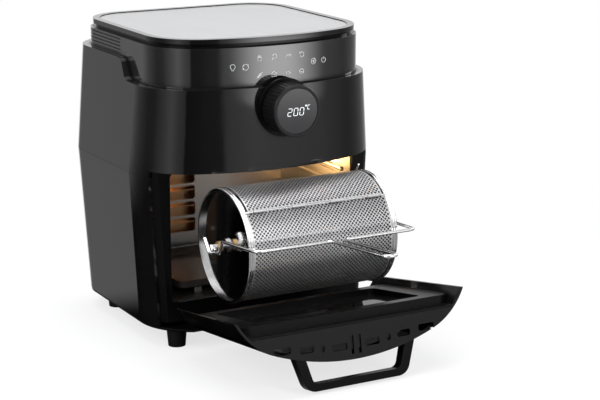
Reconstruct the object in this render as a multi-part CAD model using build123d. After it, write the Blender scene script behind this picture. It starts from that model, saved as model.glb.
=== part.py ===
from build123d import *
import os
from math import cos, radians, sin, sqrt

# Counter-top rotisserie oven: drop-down front door, drum lifted out on its wire tool.
# Millimetres. +Z up, the front faces -Y, +X to the right seen from the front.
# Sizes are written from the middle of the oven's own plan; every piece is then moved back by
# footprint_shift, so the origin lies on the surface under the middle of the whole footprint,
# with the door open and the tool out.

# ---- driving sizes ----
footprint_shift = 134.5
height = 390.0                # surface to top of lid rim
lid_rim_height = 6.0
lid_groove = 5.0              # shadow gap between band and lid rim
band_show_front = 49.0        # height of the touch band seen at the front
band_show_rear = 23.0         # and behind the S-shaped step of the housing
knob_below_step = 26.0
band_top_z = height - lid_rim_height - lid_groove
step_front_z = band_top_z - band_show_front
step_rear_z = band_top_z - band_show_rear
foot_height = 23.0
foot_radius = 13.0
foot_taper = 2.0
foot_x = 122.0
foot_y_front = -105.0
foot_y_rear = 85.0
front_arc_radius = 300.0      # every plan outline has the same bowed front
base_half_width = 154.0
base_front = 157.0
base_rear = 145.0
base_corner = 76.0
waist_half_width = 164.0      # widest level, at the seam between the two housings
waist_front = 166.5
waist_rear = 151.0
waist_corner = 88.0
shoulder_half_width = 154.0
shoulder_front = 164.5
shoulder_rear = 149.0
shoulder_corner = 82.0
rear_corner = 58.0            # rear corner radius of all outlines
waist_z = 219.0
step_y = -30.0
step_run = 34.0
band_half_width = 145.0       # touch band above the housing
band_front = 158.0
band_rear = 142.0
band_corner = 76.0
lid_half_width = 142.0
lid_front = 155.0
lid_rear = 141.0
lid_corner = 72.0
lid_rim_width = 9.0
lid_groove_depth = 4.0
top_plate_thickness = 2.0
wall = 3.0                    # moulded plastic wall
sheet = 1.0                   # stainless sheet of the cavity
seam_gap = 0.4                # reveal between the two housings
seat_gap = 0.3                # clearance between seated pieces
base_plate_thickness = 3.0

opening_half_width = 130.0
opening_bottom_z = 57.0
opening_top_z = 224.0
frame_front_y = -110.0
frame_thickness = 6.0
panel_bottom_z = 227.0        # lower edge of the upper housing's front
side_front_y = -102.0         # where the housing sides stop and the door begins

cavity_back_y = 86.0
cavity_top_z = 272.0
guide_depth = 4.0
guide_height = 5.0
guide_levels = (95.0, 140.0, 185.0)
louvre_count = 4
louvre_pitch = 22.5
louvre_height = 19.0
louvre_left_x = -96.0
louvre_right_x = -3.0
louvre_top_z = 176.0
louvre_radius = 4.0

door_bottom_z = 34.0
door_top_z = 220.7
door_back_y = -103.0
door_plate_y = -125.0         # front face of the door's inner plate
door_plate_thickness = 3.0
door_frame_clearance = 1.6    # between the door's wrapped sides and the front frame
ring_outer_half_width = 143.0
ring_inner_half_width = 112.0
ring_bottom_z = 60.0
ring_top_z = 208.0
ring_rail = 17.0
ring_gap = 0.7                # closed door to front frame
window_half_width = 102.0
window_bottom_z = 84.0
window_top_z = 184.0
inner_glass_thickness = 4.0
outer_window_half_width = 92.0
outer_window_bottom_z = 70.0
outer_window_top_z = 186.0
outer_glass_thickness = 2.4
hinge_y = -143.7
hinge_z = 21.4
door_open_deg = 80.0
hinge_pin_radius = 3.0
hinge_clearance = 0.05
hinge_x = 52.0
hinge_ear = 4.0
hinge_ear_radius = 7.5
handle_depth = 30.0
handle_base_half_width = 86.0
handle_tip_half_width = 68.0
handle_bar = 9.0
handle_height = 13.0
handle_top_z = 219.0
handle_corner = 16.0

knob_z = step_front_z - knob_below_step
knob_front_y = -199.0
knob_radius = 32.0
knob_wall = 3.8
knob_groove_count = 40
knob_base_radius = 36.0
knob_base_depth = 5.0
knob_running_gap = 0.3

drum_radius = 70.5            # over the rolled rims
drum_half_length = 102.0
drum_y = -198.0               # lifted out, as stored at rest
drum_z = 149.0
drum_in_y = -12.0             # seated in the cavity
drum_mesh_radius = 68.8
drum_mesh_thickness = 0.8
drum_rim_width = 7.0
drum_cap_recess = 5.0
drum_cap_sheet = 1.0
drum_bead = 1.7
drum_door_from_deg = 78.0     # angle from +Y over the top
drum_door_to_deg = 132.0
drum_door_half_length = 92.0
drum_door_gap = 0.5
hatch_hinge_deg = 134.0
hatch_hinge_radius = 71.0
hatch_lug_x = (-89.5, -52.0, 0.0, 52.0, 89.5)
hatch_lug_width = 3.0
hatch_lug_half_deg = 0.8
hatch_wire_radius = 0.9
hatch_knuckle_radius = 1.9
hatch_knuckle_length = 16.0
hatch_knuckle_x = (-78.0, -26.0, 26.0, 78.0)
latch_wire_radius = 1.1
latch_tip_radius = 1.35
latch_eye_radius = 8.2
latch_pivot_y = 43.0          # latch pivot, from the drum's axis
latch_pivot_z = 41.0
latch_leg_lean = (-20.0, 27.5)
latch_leg_spread = 5.8
shaft_radius = 4.0
shaft_left_tip = 117.5
shaft_right_round = 117.5
shaft_right_tip = 125.5
tang_thickness = 4.0
bush_x = 104.5
bush_width = 5.0
bush_radius = 6.5
bush_clearance = 0.05

tool_wire_radius = 2.0
tool_hook_x = 112.0
tool_left_run_x = 120.0
tool_right_run_x = 128.2
tool_cross_y = -297.0
tool_cross_z = 166.0
tool_grip_y = -418.0
tool_grip_z = 177.0
tool_grip_half_width = 8.0

tray_half_width = 108.0
tray_front_y = -85.0
tray_back_y = 72.0
tray_bottom_z = 64.0
tray_height = 10.5
tray_sheet = 1.2
floor_rib_height = 7.0

fan_radius = 62.0
fan_z = 256.0
fan_height = 12.0
fan_blades = 8
heater_z = 240.0
heater_tube = 3.2
heater_radii = (38.0, 54.0)
guard_z = 230.0
fan_center_y = -9.0
fan_shaft_radius = 3.0
fan_motor_radius = 30.0
fan_motor_height = 34.0
motor_center_to_wall = 1.0
drive_motor_radius = 15.5
drive_motor_length = 19.0
fork_radius = 9.0
fork_clearance = 0.5

os.makedirs("parts", exist_ok=True)


def save(name, shape):
    placed = Pos(0, footprint_shift, 0) * shape
    placed.label = name
    export_step(placed, f"parts/{name}.step")


def block(x0, x1, y0, y1, z0, z1):
    size = Box(x1 - x0, y1 - y0, z1 - z0)
    return Pos((x0 + x1) / 2, (y0 + y1) / 2, (z0 + z1) / 2) * size


def rod_x(radius, x0, x1, y, z):
    return Pos((x0 + x1) / 2, y, z) * Rot(0, 90, 0) * Cylinder(radius, x1 - x0)


def rod_y(radius, y0, y1, x, z):
    return Pos(x, (y0 + y1) / 2, z) * Rot(90, 0, 0) * Cylinder(radius, y1 - y0)


def rod_z(radius, z0, z1, x, y):
    return Pos(x, y, (z0 + z1) / 2) * Cylinder(radius, z1 - z0)


def outline(half_width, front, rear, corner, z, inset=0.0):
    """Plan outline with a bowed front, drawn as a face at height z."""
    w = half_width - inset
    f = front - inset
    b = rear - inset
    arc = front_arc_radius - inset
    corner_y = -(f - arc) - sqrt(arc * arc - w * w)
    edges = [
        ThreePointArc((-w, corner_y), (0, -f), (w, corner_y)),
        Line((w, corner_y), (w, b)),
        Line((w, b), (-w, b)),
        Line((-w, b), (-w, corner_y)),
    ]
    face = make_face(Curve() + edges)
    front_vertices = face.vertices().filter_by(lambda v: v.Y < 0)
    face = fillet(front_vertices, corner - inset)
    rear_vertices = face.vertices().filter_by(lambda v: v.Y > b - 0.01)
    face = fillet(rear_vertices, rear_corner - inset)
    return Pos(0, 0, z) * face


def base_outline(z, inset=0.0):
    return outline(base_half_width, base_front, base_rear, base_corner, z, inset)


def waist_outline(z, inset=0.0):
    return outline(waist_half_width, waist_front, waist_rear, waist_corner, z, inset)


def shoulder_outline(z, inset=0.0):
    return outline(shoulder_half_width, shoulder_front, shoulder_rear, shoulder_corner, z, inset)


def band_outline(z, inset=0.0):
    return outline(band_half_width, band_front, band_rear, band_corner, z, inset)


def lid_outline(z, inset=0.0):
    return outline(lid_half_width, lid_front, lid_rear, lid_corner, z, inset)


def between(lower_face, upper_face):
    return loft([lower_face, upper_face], ruled=True)


base_top_z = foot_height + base_plate_thickness
lower_solid = between(base_outline(base_top_z), waist_outline(waist_z))
lower_hollow = between(base_outline(base_top_z, wall), waist_outline(waist_z, wall))

# ---- base plate and feet ----
base_plate_front = -134.0
base_plate = extrude(base_outline(foot_height, 1.0), base_plate_thickness)
base_plate -= block(-200, 200, -200, base_plate_front, 0, 60)
for vent_row in range(7):
    vent_y = -48 + vent_row * 14
    base_plate -= block(-45, 45, vent_y, vent_y + 5, 0, 60)
bracket_y = hinge_y - hinge_ear_radius
save("base_plate", base_plate)

feet = Part()
for fx in (-foot_x, foot_x):
    for fy in (foot_y_front, foot_y_rear):
        foot = Pos(fx, fy, foot_height / 2) * Rot(180, 0, 0) * Cone(
            foot_radius, foot_radius - foot_taper, foot_height
        )
        feet += foot
save("rubber_feet", feet)

# ---- hinge brackets: one bent ear on each side of the base plate's front edge ----
for side, name in ((-1, "hinge_bracket_left"), (1, "hinge_bracket_right")):
    x0 = side * hinge_x - hinge_ear / 2
    x1 = x0 + hinge_ear
    ear = block(x0, x1, hinge_y, base_plate_front + 16, hinge_z - 6, foot_height)
    ear += rod_x(hinge_ear_radius - 1.5, x0, x1, hinge_y, hinge_z)
    foot_tab = block(x0 - 8, x1 + 8, base_plate_front + 2, base_plate_front + 16,
                     foot_height - 2, foot_height)
    ear += foot_tab
    pin = rod_x(hinge_pin_radius, side * hinge_x - 12, side * hinge_x + 12, hinge_y, hinge_z)
    save(name, ear + pin)

# ---- lower housing ----
lower_housing = lower_solid - lower_hollow
lower_housing -= block(-200, 200, -220, side_front_y, 0, 400)
save("lower_housing", lower_housing)

# ---- upper housing: shell with an S-shaped step in its top edge ----
upper_bottom_z = waist_z + seam_gap
shoulder_drop = 9.0
upper_solid = between(waist_outline(upper_bottom_z), shoulder_outline(step_rear_z))
upper_hollow = between(
    waist_outline(upper_bottom_z, wall), shoulder_outline(step_rear_z - shoulder_drop, wall)
)
hollow_limit = block(-200, 200, -200, step_y + step_run, 0, step_front_z - shoulder_drop)
hollow_limit += block(-200, 200, step_y + step_run, 200, 0, step_rear_z - shoulder_drop)
upper_housing = upper_solid - (upper_hollow & hollow_limit)
upper_housing -= extrude(band_outline(step_front_z - 60, -seat_gap), 200)
step_cut = Polyline(
    (-220, step_front_z), (step_y - step_run / 2, step_front_z)
)
step_edge = Spline(
    (step_y - step_run / 2, step_front_z), (step_y + step_run / 2, step_rear_z),
    tangents=((1, 0), (1, 0)),
)
step_close = Polyline(
    (step_y + step_run / 2, step_rear_z), (step_y + step_run / 2, height + 10),
    (-220, height + 10),
    (-220, step_front_z),
)
step_face = make_face(Plane.YZ * (Curve() + [step_cut, step_edge, step_close]))
upper_housing -= extrude(step_face, 200, both=True)
upper_housing -= block(-200, 200, -220, side_front_y + seam_gap, 0, panel_bottom_z)
for row in range(9):
    z = 245 + row * 9
    upper_housing -= block(-70, 70, 120, 160, z, z + 4)
save("upper_housing", upper_housing)

# ---- touch band, with moulded ribs on both sides towards the rear ----
band_bottom_z = step_front_z - 9.0
band = extrude(band_outline(band_bottom_z), band_top_z - band_bottom_z)
band -= extrude(band_outline(band_bottom_z, wall), band_top_z - band_bottom_z)
rib_count = 5
rib_pitch = 4.4
rib_depth = 1.2
rib_front_y = -2.0
rib_cut = extrude(band_outline(0, -5), 2.0) - extrude(band_outline(0, rib_depth), 2.0)
rib_cut -= block(-200, 200, -200, rib_front_y, -1, 5)
for rib in range(rib_count):
    band -= Pos(0, 0, step_rear_z + 1.5 + rib * rib_pitch) * rib_cut
save("touch_band", band)

# ---- lid: black rim with a shadow groove under it, inset brushed plate ----
rim_bottom_z = height - lid_rim_height
lid_rim = extrude(lid_outline(rim_bottom_z), lid_rim_height)
lid_rim += extrude(lid_outline(band_top_z, lid_groove_depth), rim_bottom_z - band_top_z)
lid_rim += extrude(band_outline(band_top_z - 3, wall + seat_gap), 3)
plate_recess = 1.2
plate_seat_z = height - plate_recess - top_plate_thickness
lid_rim -= extrude(lid_outline(plate_seat_z, lid_rim_width), height - plate_seat_z + 1)
lid_rim -= extrude(lid_outline(band_top_z - 10, lid_rim_width + 12), height - band_top_z + 20)
tab_half_width = 24.0
tab_depth = 5.0
tab_y = -(lid_front - lid_rim_width)
tab = block(-tab_half_width, tab_half_width, tab_y - 2, tab_y + tab_depth,
            plate_seat_z - 2, height - 0.6)
tab = chamfer(tab.edges().filter_by(Axis.Z).group_by(Axis.Y)[-1], tab_depth - 0.5)
tab &= extrude(lid_outline(plate_seat_z - 4, 1), 20)
lid_rim += tab
save("lid_rim", lid_rim)
top_plate = extrude(lid_outline(plate_seat_z, lid_rim_width + seat_gap), top_plate_thickness)
tab_room = block(-tab_half_width - seat_gap, tab_half_width + seat_gap, tab_y - 5,
                 tab_y + tab_depth + seat_gap, 0, height + 10)
top_plate -= tab_room
save("top_plate", top_plate)

# ---- front frame round the opening, and the bright sill on its lower edge ----
frame_back_y = frame_front_y + frame_thickness
frame_inset = wall + door_frame_clearance
frame_bottom_z = base_top_z + 6
frame_outline = between(base_outline(base_top_z, frame_inset), waist_outline(waist_z, frame_inset))
frame_outline += extrude(waist_outline(waist_z, frame_inset), 20)
front_frame = block(-200, 200, frame_front_y, side_front_y, frame_bottom_z, panel_bottom_z - 1)
front_frame &= frame_outline
flange_outline = between(base_outline(base_top_z, wall + seat_gap),
                         waist_outline(waist_z, wall + seat_gap))
flange = block(-200, 200, side_front_y, side_front_y + 6, frame_bottom_z, waist_z - 1)
front_frame += flange & flange_outline
front_frame -= block(-opening_half_width - 2, opening_half_width + 2, frame_back_y, 0, 0, 300)
frame_hole = block(-opening_half_width, opening_half_width, -200, 0,
                   opening_bottom_z, opening_top_z)
frame_hole = fillet(frame_hole.edges().filter_by(Axis.Y), 8)
front_frame -= frame_hole
save("front_frame", front_frame)
sill = block(-opening_half_width + 10, opening_half_width - 10, frame_front_y + 0.6,
             frame_back_y + 6, opening_bottom_z, opening_bottom_z + 1.2)
sill += block(-opening_half_width + 10, opening_half_width - 10, frame_back_y,
              frame_back_y + 1.2, opening_bottom_z - 10, opening_bottom_z)
save("sill_strip", sill)

# ---- cavity ----
cavity_front_y = frame_back_y + 1.2
cavity_half_width = opening_half_width + 1.0
cavity_floor_z = opening_bottom_z
left_wall = block(-cavity_half_width - sheet, -cavity_half_width, cavity_front_y, cavity_back_y,
                  cavity_floor_z, cavity_top_z)
for level in guide_levels:
    left_wall += block(-cavity_half_width, -cavity_half_width + guide_depth,
                       cavity_front_y + 8, cavity_back_y - 8, level, level + guide_height)
save("cavity_left_wall", left_wall)
lamp_y = -62.0
lamp_z = 212.0
lamp_radius = 12.0
lamp_bulb_radius = 4.5
right_wall = mirror(left_wall, Plane.YZ)
right_wall -= rod_x(fork_radius + 1, 100, 150, drum_in_y, drum_z)
right_wall -= rod_x(lamp_radius, 100, 150, lamp_y, lamp_z)
save("cavity_right_wall", right_wall)
back_wall = block(-cavity_half_width - sheet, cavity_half_width + sheet, cavity_back_y,
                  cavity_back_y + sheet, cavity_floor_z, cavity_top_z)
duct = block(louvre_left_x - 8, louvre_right_x + 8, cavity_back_y + sheet,
             cavity_back_y + sheet + 16, louvre_top_z - louvre_count * louvre_pitch - 4,
             louvre_top_z + 6)
duct -= block(louvre_left_x - 6, louvre_right_x + 6, cavity_back_y, cavity_back_y + sheet + 15,
              louvre_top_z - louvre_count * louvre_pitch - 2, louvre_top_z + 4)
for row in range(louvre_count):
    z1 = louvre_top_z - row * louvre_pitch
    slot = block(louvre_left_x, louvre_right_x, 80, 100, z1 - louvre_height, z1)
    back_wall -= fillet(slot.edges().filter_by(Axis.Y), louvre_radius)
    blade = block(louvre_left_x - 6, louvre_right_x + 6, cavity_back_y + sheet + 1,
                  cavity_back_y + sheet + 15, z1 - 7, z1 - 5.8)
    duct += blade
save("cavity_back_wall", back_wall)
save("rear_air_duct", duct)
floor_pan = block(-cavity_half_width - sheet, cavity_half_width + sheet, cavity_front_y,
                  cavity_back_y + sheet, cavity_floor_z - sheet, cavity_floor_z)
for rx in (-80, 80):
    floor_pan += block(rx - 5, rx + 5, tray_front_y + 4, tray_back_y - 4, cavity_floor_z,
                       tray_bottom_z)
save("cavity_floor", floor_pan)
roof = block(-cavity_half_width - sheet, cavity_half_width + sheet, cavity_front_y,
             cavity_back_y + sheet, cavity_top_z, cavity_top_z + sheet)
roof -= rod_z(fan_shaft_radius + 4, 200, 300, 0, fan_center_y)
roof += block(-cavity_half_width - sheet, cavity_half_width + sheet, cavity_front_y - sheet,
              cavity_front_y, opening_top_z + 2, cavity_top_z + sheet)
save("cavity_roof", roof)

# ---- hot-air system under the roof ----
guard = block(-cavity_half_width, cavity_half_width, cavity_front_y, cavity_back_y,
              guard_z, guard_z + sheet)
for ring in range(5):
    radius = 12 + ring * 12
    count = 6 + ring * 5
    for hole_place in PolarLocations(radius, count):
        guard -= Pos(0, fan_center_y, guard_z) * hole_place * Cylinder(3.2, 20)
save("heater_guard", guard)
heater_tail_x = 14.0
heater_reach = heater_radii[1]
heater_near_y = fan_center_y + heater_reach
heater_far_y = fan_center_y - heater_reach
heater_corners = [
    (-heater_tail_x, cavity_back_y), (-heater_tail_x, heater_near_y),
    (-heater_reach, heater_near_y), (-heater_reach, heater_far_y),
    (heater_reach, heater_far_y), (heater_reach, heater_near_y),
    (heater_tail_x, heater_near_y), (heater_tail_x, cavity_back_y),
]
heater_path = FilletPolyline(*heater_corners, radius=[6, 32, 50, 50, 32, 6])
heater_start = Plane(origin=(-heater_tail_x, cavity_back_y, 0), z_dir=(0, -1, 0))
heater = sweep(heater_start * Circle(heater_tube), path=heater_path)
heater += Pos(0, fan_center_y, 0) * Torus(heater_radii[0], heater_tube)
heater += block(-heater_reach, -heater_radii[0], fan_center_y - 3, fan_center_y + 3, -1, 1)
heater += block(heater_radii[0], heater_reach, fan_center_y - 3, fan_center_y + 3, -1, 1)
heater += block(-3, 3, heater_far_y, fan_center_y - heater_radii[0], -1, 1)
heater = Pos(0, 0, heater_z) * heater
save("heating_element", heater)
fan = rod_z(9, fan_z - 2, fan_z + fan_height, 0, fan_center_y)
fan += rod_z(fan_radius, fan_z - 2, fan_z - 1, 0, fan_center_y)
for blade in range(fan_blades):
    vane = Pos(fan_radius / 2 + 2, 0, fan_z + fan_height / 2 - 1.5) * Rot(0, 0, 20) * Box(
        fan_radius - 16, 1.2, fan_height + 1
    )
    fan += Pos(0, fan_center_y, 0) * Rot(0, 0, blade * 360 / fan_blades) * vane
fan += rod_z(fan_shaft_radius, fan_z, cavity_top_z + 12, 0, fan_center_y)
save("hot_air_fan", fan)
fan_motor_z = cavity_top_z + sheet
fan_motor = rod_z(fan_motor_radius, fan_motor_z, fan_motor_z + fan_motor_height, 0, fan_center_y)
fan_motor -= rod_z(fan_shaft_radius + 0.05, fan_motor_z - 1, fan_motor_z + 14, 0, fan_center_y)
for ear_x in (-1, 1):
    fan_motor += block(min(ear_x * 26, ear_x * 44), max(ear_x * 26, ear_x * 44),
                       fan_center_y - 6, fan_center_y + 6, fan_motor_z, fan_motor_z + 2)
save("fan_motor", fan_motor)

# ---- lamp behind its window in the right wall ----
lamp_lens = rod_x(lamp_radius - seat_gap, cavity_half_width - 3, cavity_half_width + sheet,
                  lamp_y, lamp_z)
lamp_lens = fillet(lamp_lens.edges().sort_by(Axis.X)[0], 2)
save("lamp_lens", lamp_lens)
lamp_socket = rod_x(lamp_radius + 2, cavity_half_width + sheet, cavity_half_width + 17,
                    lamp_y, lamp_z)
lamp_socket -= rod_x(lamp_radius - 1, cavity_half_width, cavity_half_width + 15, lamp_y, lamp_z)
save("lamp_socket", lamp_socket)
bulb = rod_x(lamp_bulb_radius, cavity_half_width + 2.5, cavity_half_width + 15, lamp_y, lamp_z)
bulb = fillet(bulb.edges().sort_by(Axis.X)[0], 0.8 * lamp_bulb_radius)
save("lamp_bulb", bulb)

# ---- drip tray ----
tray = block(-tray_half_width, tray_half_width, tray_front_y, tray_back_y, tray_bottom_z,
             tray_bottom_z + tray_height)
tray = fillet(tray.edges().filter_by(Axis.Z), 10)
tray = fillet(tray.faces().sort_by(Axis.Z)[0].edges(), 4)
tray_hollow = block(-tray_half_width + tray_sheet + 6, tray_half_width - tray_sheet - 6,
                    tray_front_y + tray_sheet + 6, tray_back_y - tray_sheet - 6,
                    tray_bottom_z + tray_sheet, tray_bottom_z + tray_height + 5)
tray_hollow = fillet(tray_hollow.edges().filter_by(Axis.Z), 6)
tray -= tray_hollow
save("drip_tray", tray)

# ---- drum rest on the left wall, open towards the front ----
rest_x = -bush_x - bush_width / 2 - 1.0
rest = block(-cavity_half_width, -bush_x + 1, drum_in_y - 12, drum_in_y + 14,
             drum_z - bush_radius - 6, drum_z - bush_radius - seat_gap)
rest += block(-bush_x - bush_width, -bush_x + 1, drum_in_y + bush_radius + seat_gap,
              drum_in_y + 14, drum_z - bush_radius - 6, drum_z + 8)
rest_rail = block(-cavity_half_width - 1, -cavity_half_width + guide_depth + seat_gap, -200, 200,
                  guide_levels[1] - seat_gap, guide_levels[1] + guide_height + seat_gap)
rest -= rest_rail
save("drum_rest_left", rest)

# ---- rotisserie drive: motor, fork that takes the drum's tang ----
fork_x0 = shaft_right_round + 0.8
fork_x1 = cavity_half_width + 8
fork = rod_x(fork_radius, fork_x0, fork_x1, drum_in_y, drum_z)
fork -= block(fork_x0 - 1, shaft_right_tip + 1, drum_in_y - 20, drum_in_y + 20,
              drum_z - tang_thickness / 2 - fork_clearance,
              drum_z + tang_thickness / 2 + fork_clearance)
fork += rod_x(fan_shaft_radius, fork_x1, fork_x1 + 8, drum_in_y, drum_z)
save("drive_fork", fork)
drive_motor = rod_x(drive_motor_radius, fork_x1 + seat_gap, fork_x1 + drive_motor_length - 4,
                    drum_in_y, drum_z)
drive_motor -= rod_x(fan_shaft_radius + 0.05, fork_x1 - 1, fork_x1 + 9, drum_in_y, drum_z)
motor_plate = block(cavity_half_width + sheet, fork_x1 + 2, drum_in_y - 24, drum_in_y + 24,
                    drum_z - 21, drum_z + 21)
motor_plate -= rod_x(drive_motor_radius, 100, 200, drum_in_y, drum_z)
save("drive_motor", drive_motor)
save("drive_motor_plate", motor_plate)

# ---- door, built closed and then turned open about its hinge ----
open_turn = Pos(0, hinge_y, hinge_z) * Rot(door_open_deg, 0, 0) * Pos(0, -hinge_y, -hinge_z)


def save_door(name, shape):
    save(name, open_turn * shape)


door_blank = lower_solid & block(-200, 200, -220, door_back_y, door_bottom_z, waist_z)
door_blank += extrude(
    (waist_outline(waist_z) & Pos(0, -150, waist_z) * Rectangle(400, 2 * (150 + door_back_y))),
    door_top_z - waist_z,
)
door_core = lower_hollow & block(-200, 200, -220, door_back_y + 1, door_bottom_z + wall,
                                 door_top_z - wall)
outer_shell = door_blank - door_core
door_hollow = between(base_outline(base_top_z, wall), waist_outline(waist_z, wall))
door_hollow += extrude(waist_outline(waist_z, wall), 20)
outer_shell -= block(-200, 200, door_plate_y, 0, door_bottom_z - 1, door_top_z + 1) & door_hollow
window_cut = block(-outer_window_half_width, outer_window_half_width, -220, -130,
                   outer_window_bottom_z, outer_window_top_z)
window_cut = fillet(window_cut.edges().filter_by(Axis.Y), 14)
outer_glass = door_blank - (between(
    base_outline(base_top_z, outer_glass_thickness),
    waist_outline(waist_z, outer_glass_thickness),
))
outer_glass &= fillet(
    block(-outer_window_half_width + seat_gap, outer_window_half_width - seat_gap, -220, -130,
          outer_window_bottom_z + seat_gap, outer_window_top_z - seat_gap
          ).edges().filter_by(Axis.Y), 14 - seat_gap)
outer_shell -= window_cut
slot_y = -143.0
slot_depth = 8.0
for slot_x, slot_half in ((98, 11), (66, 9), (45, 2.5), (22, 10)):
    for side in (-1, 1):
        slot = block(side * slot_x - slot_half, side * slot_x + slot_half,
                     slot_y - slot_depth / 2 - (100 - slot_x) / 12,
                     slot_y + slot_depth / 2 - (100 - slot_x) / 12,
                     door_top_z - wall - 1, door_top_z + 1)
        outer_shell -= fillet(slot.edges().filter_by(Axis.Z), 2.2)
for slot_x in (-5, 5):
    outer_shell -= block(slot_x - 1.8, slot_x + 1.8, -160, -138, door_top_z - wall - 1,
                         door_top_z + 1)
leaf_half_depth = 4.0
arm_room = 1.5 * hinge_ear + 2 * seat_gap
for side in (-1, 1):
    outer_shell -= block(side * hinge_x - arm_room, side * hinge_x + arm_room,
                         hinge_y - leaf_half_depth - seat_gap, hinge_y + leaf_half_depth + seat_gap,
                         0, door_bottom_z + wall + 1)
save_door("door_outer_shell", outer_shell)
save_door("door_outer_glass", outer_glass)

plate_back_y = door_plate_y + door_plate_thickness
plate_outline = between(base_outline(base_top_z, wall + seat_gap),
                        waist_outline(waist_z, wall + seat_gap))
plate_outline += extrude(waist_outline(waist_z, wall + seat_gap), 20)
inner_frame = block(-200, 200, door_plate_y, plate_back_y, door_bottom_z + 1, door_top_z)
inner_frame &= plate_outline
ring_back_y = frame_front_y - ring_gap
ring_block = block(-ring_outer_half_width, ring_outer_half_width, plate_back_y, ring_back_y,
                   ring_bottom_z, ring_top_z)
ring_block = fillet(ring_block.edges().filter_by(Axis.Y), 14) & plate_outline
ring_hole = block(-ring_inner_half_width, ring_inner_half_width, -200, 0,
                  ring_bottom_z + ring_rail, ring_top_z - ring_rail)
ring_hole = fillet(ring_hole.edges().filter_by(Axis.Y), 8)
glass_hole = block(-window_half_width, window_half_width, -200, 0, window_bottom_z, window_top_z)
inner_frame -= fillet(glass_hole.edges().filter_by(Axis.Y), 6)
inner_frame += ring_block - ring_hole
save_door("door_inner_frame", inner_frame)
inner_glass = block(-ring_inner_half_width + seat_gap, ring_inner_half_width - seat_gap,
                    plate_back_y, plate_back_y + inner_glass_thickness,
                    ring_bottom_z + ring_rail + seat_gap, ring_top_z - ring_rail - seat_gap)
inner_glass = fillet(inner_glass.edges().filter_by(Axis.Y), 7.5)
save_door("door_inner_glass", inner_glass)

handle_y = -(waist_front - 1.5)
tip_y = -(waist_front + handle_depth)
handle_points = [
    (-handle_base_half_width, -140), (-handle_tip_half_width, tip_y),
    (handle_tip_half_width, tip_y), (handle_base_half_width, -140),
]
handle_face = make_face(Polyline(*handle_points, close=True))
handle_face = fillet(handle_face.vertices().filter_by(lambda v: v.Y < -150), handle_corner)
inner_points = [
    (-handle_base_half_width + handle_bar + 2, -130), (-handle_tip_half_width + handle_bar, tip_y + handle_bar),
    (handle_tip_half_width - handle_bar, tip_y + handle_bar), (handle_base_half_width - handle_bar - 2, -130),
]
inner_face = make_face(Polyline(*inner_points, close=True))
inner_face = fillet(inner_face.vertices().filter_by(lambda v: v.Y < -150), handle_corner - handle_bar + 2)
handle_bottom_z = handle_top_z - handle_height
handle = Pos(0, 0, handle_bottom_z) * extrude(handle_face - inner_face, handle_height)
handle -= between(base_outline(base_top_z, -seat_gap), waist_outline(waist_z, -seat_gap))
save_door("door_handle", handle)

for side, name in ((-1, "door_hinge_arm_left"), (1, "door_hinge_arm_right")):
    arm_parts = Part()
    for offset in (-1, 1):
        cx = side * hinge_x + offset * (hinge_ear + seat_gap)
        leaf = block(cx - hinge_ear / 2, cx + hinge_ear / 2, hinge_y - leaf_half_depth,
                     hinge_y + leaf_half_depth, hinge_z, door_bottom_z + 8)
        leaf += rod_x(hinge_ear_radius - 1.5, cx - hinge_ear / 2, cx + hinge_ear / 2, hinge_y, hinge_z)
        leaf -= rod_x(hinge_pin_radius + hinge_clearance, cx - 20, cx + 20, hinge_y, hinge_z)
        arm_parts += leaf
    arm_parts += block(side * hinge_x - 10, side * hinge_x + 10, hinge_y - leaf_half_depth,
                       hinge_y + leaf_half_depth, door_bottom_z + wall + seat_gap,
                       door_bottom_z + wall + 7)
    save_door(name, arm_parts)

# ---- knob: fixed display core, turning ring, fixed base ----
knob_back_y = -(waist_front - 3.5)
knob_base = rod_y(knob_base_radius, knob_back_y - knob_base_depth, knob_back_y + 6, 0, knob_z)
core_radius = knob_radius - knob_wall - knob_running_gap
display = rod_y(core_radius, knob_front_y + 0.6, knob_back_y - knob_base_depth, 0, knob_z)
upper_front_cut = extrude(band_outline(0), 10)
ring_back = knob_back_y - knob_base_depth - knob_running_gap
knob_ring = rod_y(knob_radius, knob_front_y, ring_back, 0, knob_z)
knob_ring = chamfer(knob_ring.edges().filter_by(GeomType.CIRCLE).sort_by(Axis.Y)[0], 0.8)
knob_ring -= rod_y(core_radius + knob_running_gap, knob_front_y - 1, ring_back + 1, 0, knob_z)
for groove in range(knob_groove_count):
    angle = radians(groove * 360 / knob_groove_count)
    knob_ring -= rod_y(0.9, knob_front_y + 5, ring_back + 1,
                       (knob_radius + 0.2) * cos(angle), knob_z + (knob_radius + 0.2) * sin(angle))
save("knob_ring", knob_ring)
save("knob_display", display)
knob_base -= upper_solid
save("knob_base", knob_base)

# ---- electronics behind the band and the front ----
encoder = rod_y(9, -(waist_front - 8), -(waist_front - 22), 0, knob_z)
save("knob_encoder", encoder)
board_front_y = -(waist_front - 22)
board = block(-95, 95, board_front_y, board_front_y + 2, knob_z - 19, knob_z + 14)
for post_x in (-82, 82):
    post = rod_y(3, -160, board_front_y, post_x, knob_z - 3)
    board += post & upper_hollow
save("control_board", board)

# ---- drum ----


def drum_arc(radius, thickness, from_deg, to_deg, x0, x1):
    """Curved sheet about the drum's axis; angles run from +Y over the top."""
    sector = Plane.YZ.offset(x0) * Pos(drum_y, drum_z) * (
        Circle(radius) - Circle(radius - thickness)
    )
    shell = extrude(sector, x1 - x0)
    wedge_points = [(drum_y, drum_z)]
    steps = 4
    for step in range(steps + 1):
        angle = radians(from_deg + (to_deg - from_deg) * step / steps)
        wedge_points.append((drum_y + 120 * cos(angle), drum_z + 120 * sin(angle)))
    wedge = extrude(Plane.YZ.offset(x0) * make_face(Polyline(*wedge_points, close=True)), x1 - x0)
    return shell & wedge


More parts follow.
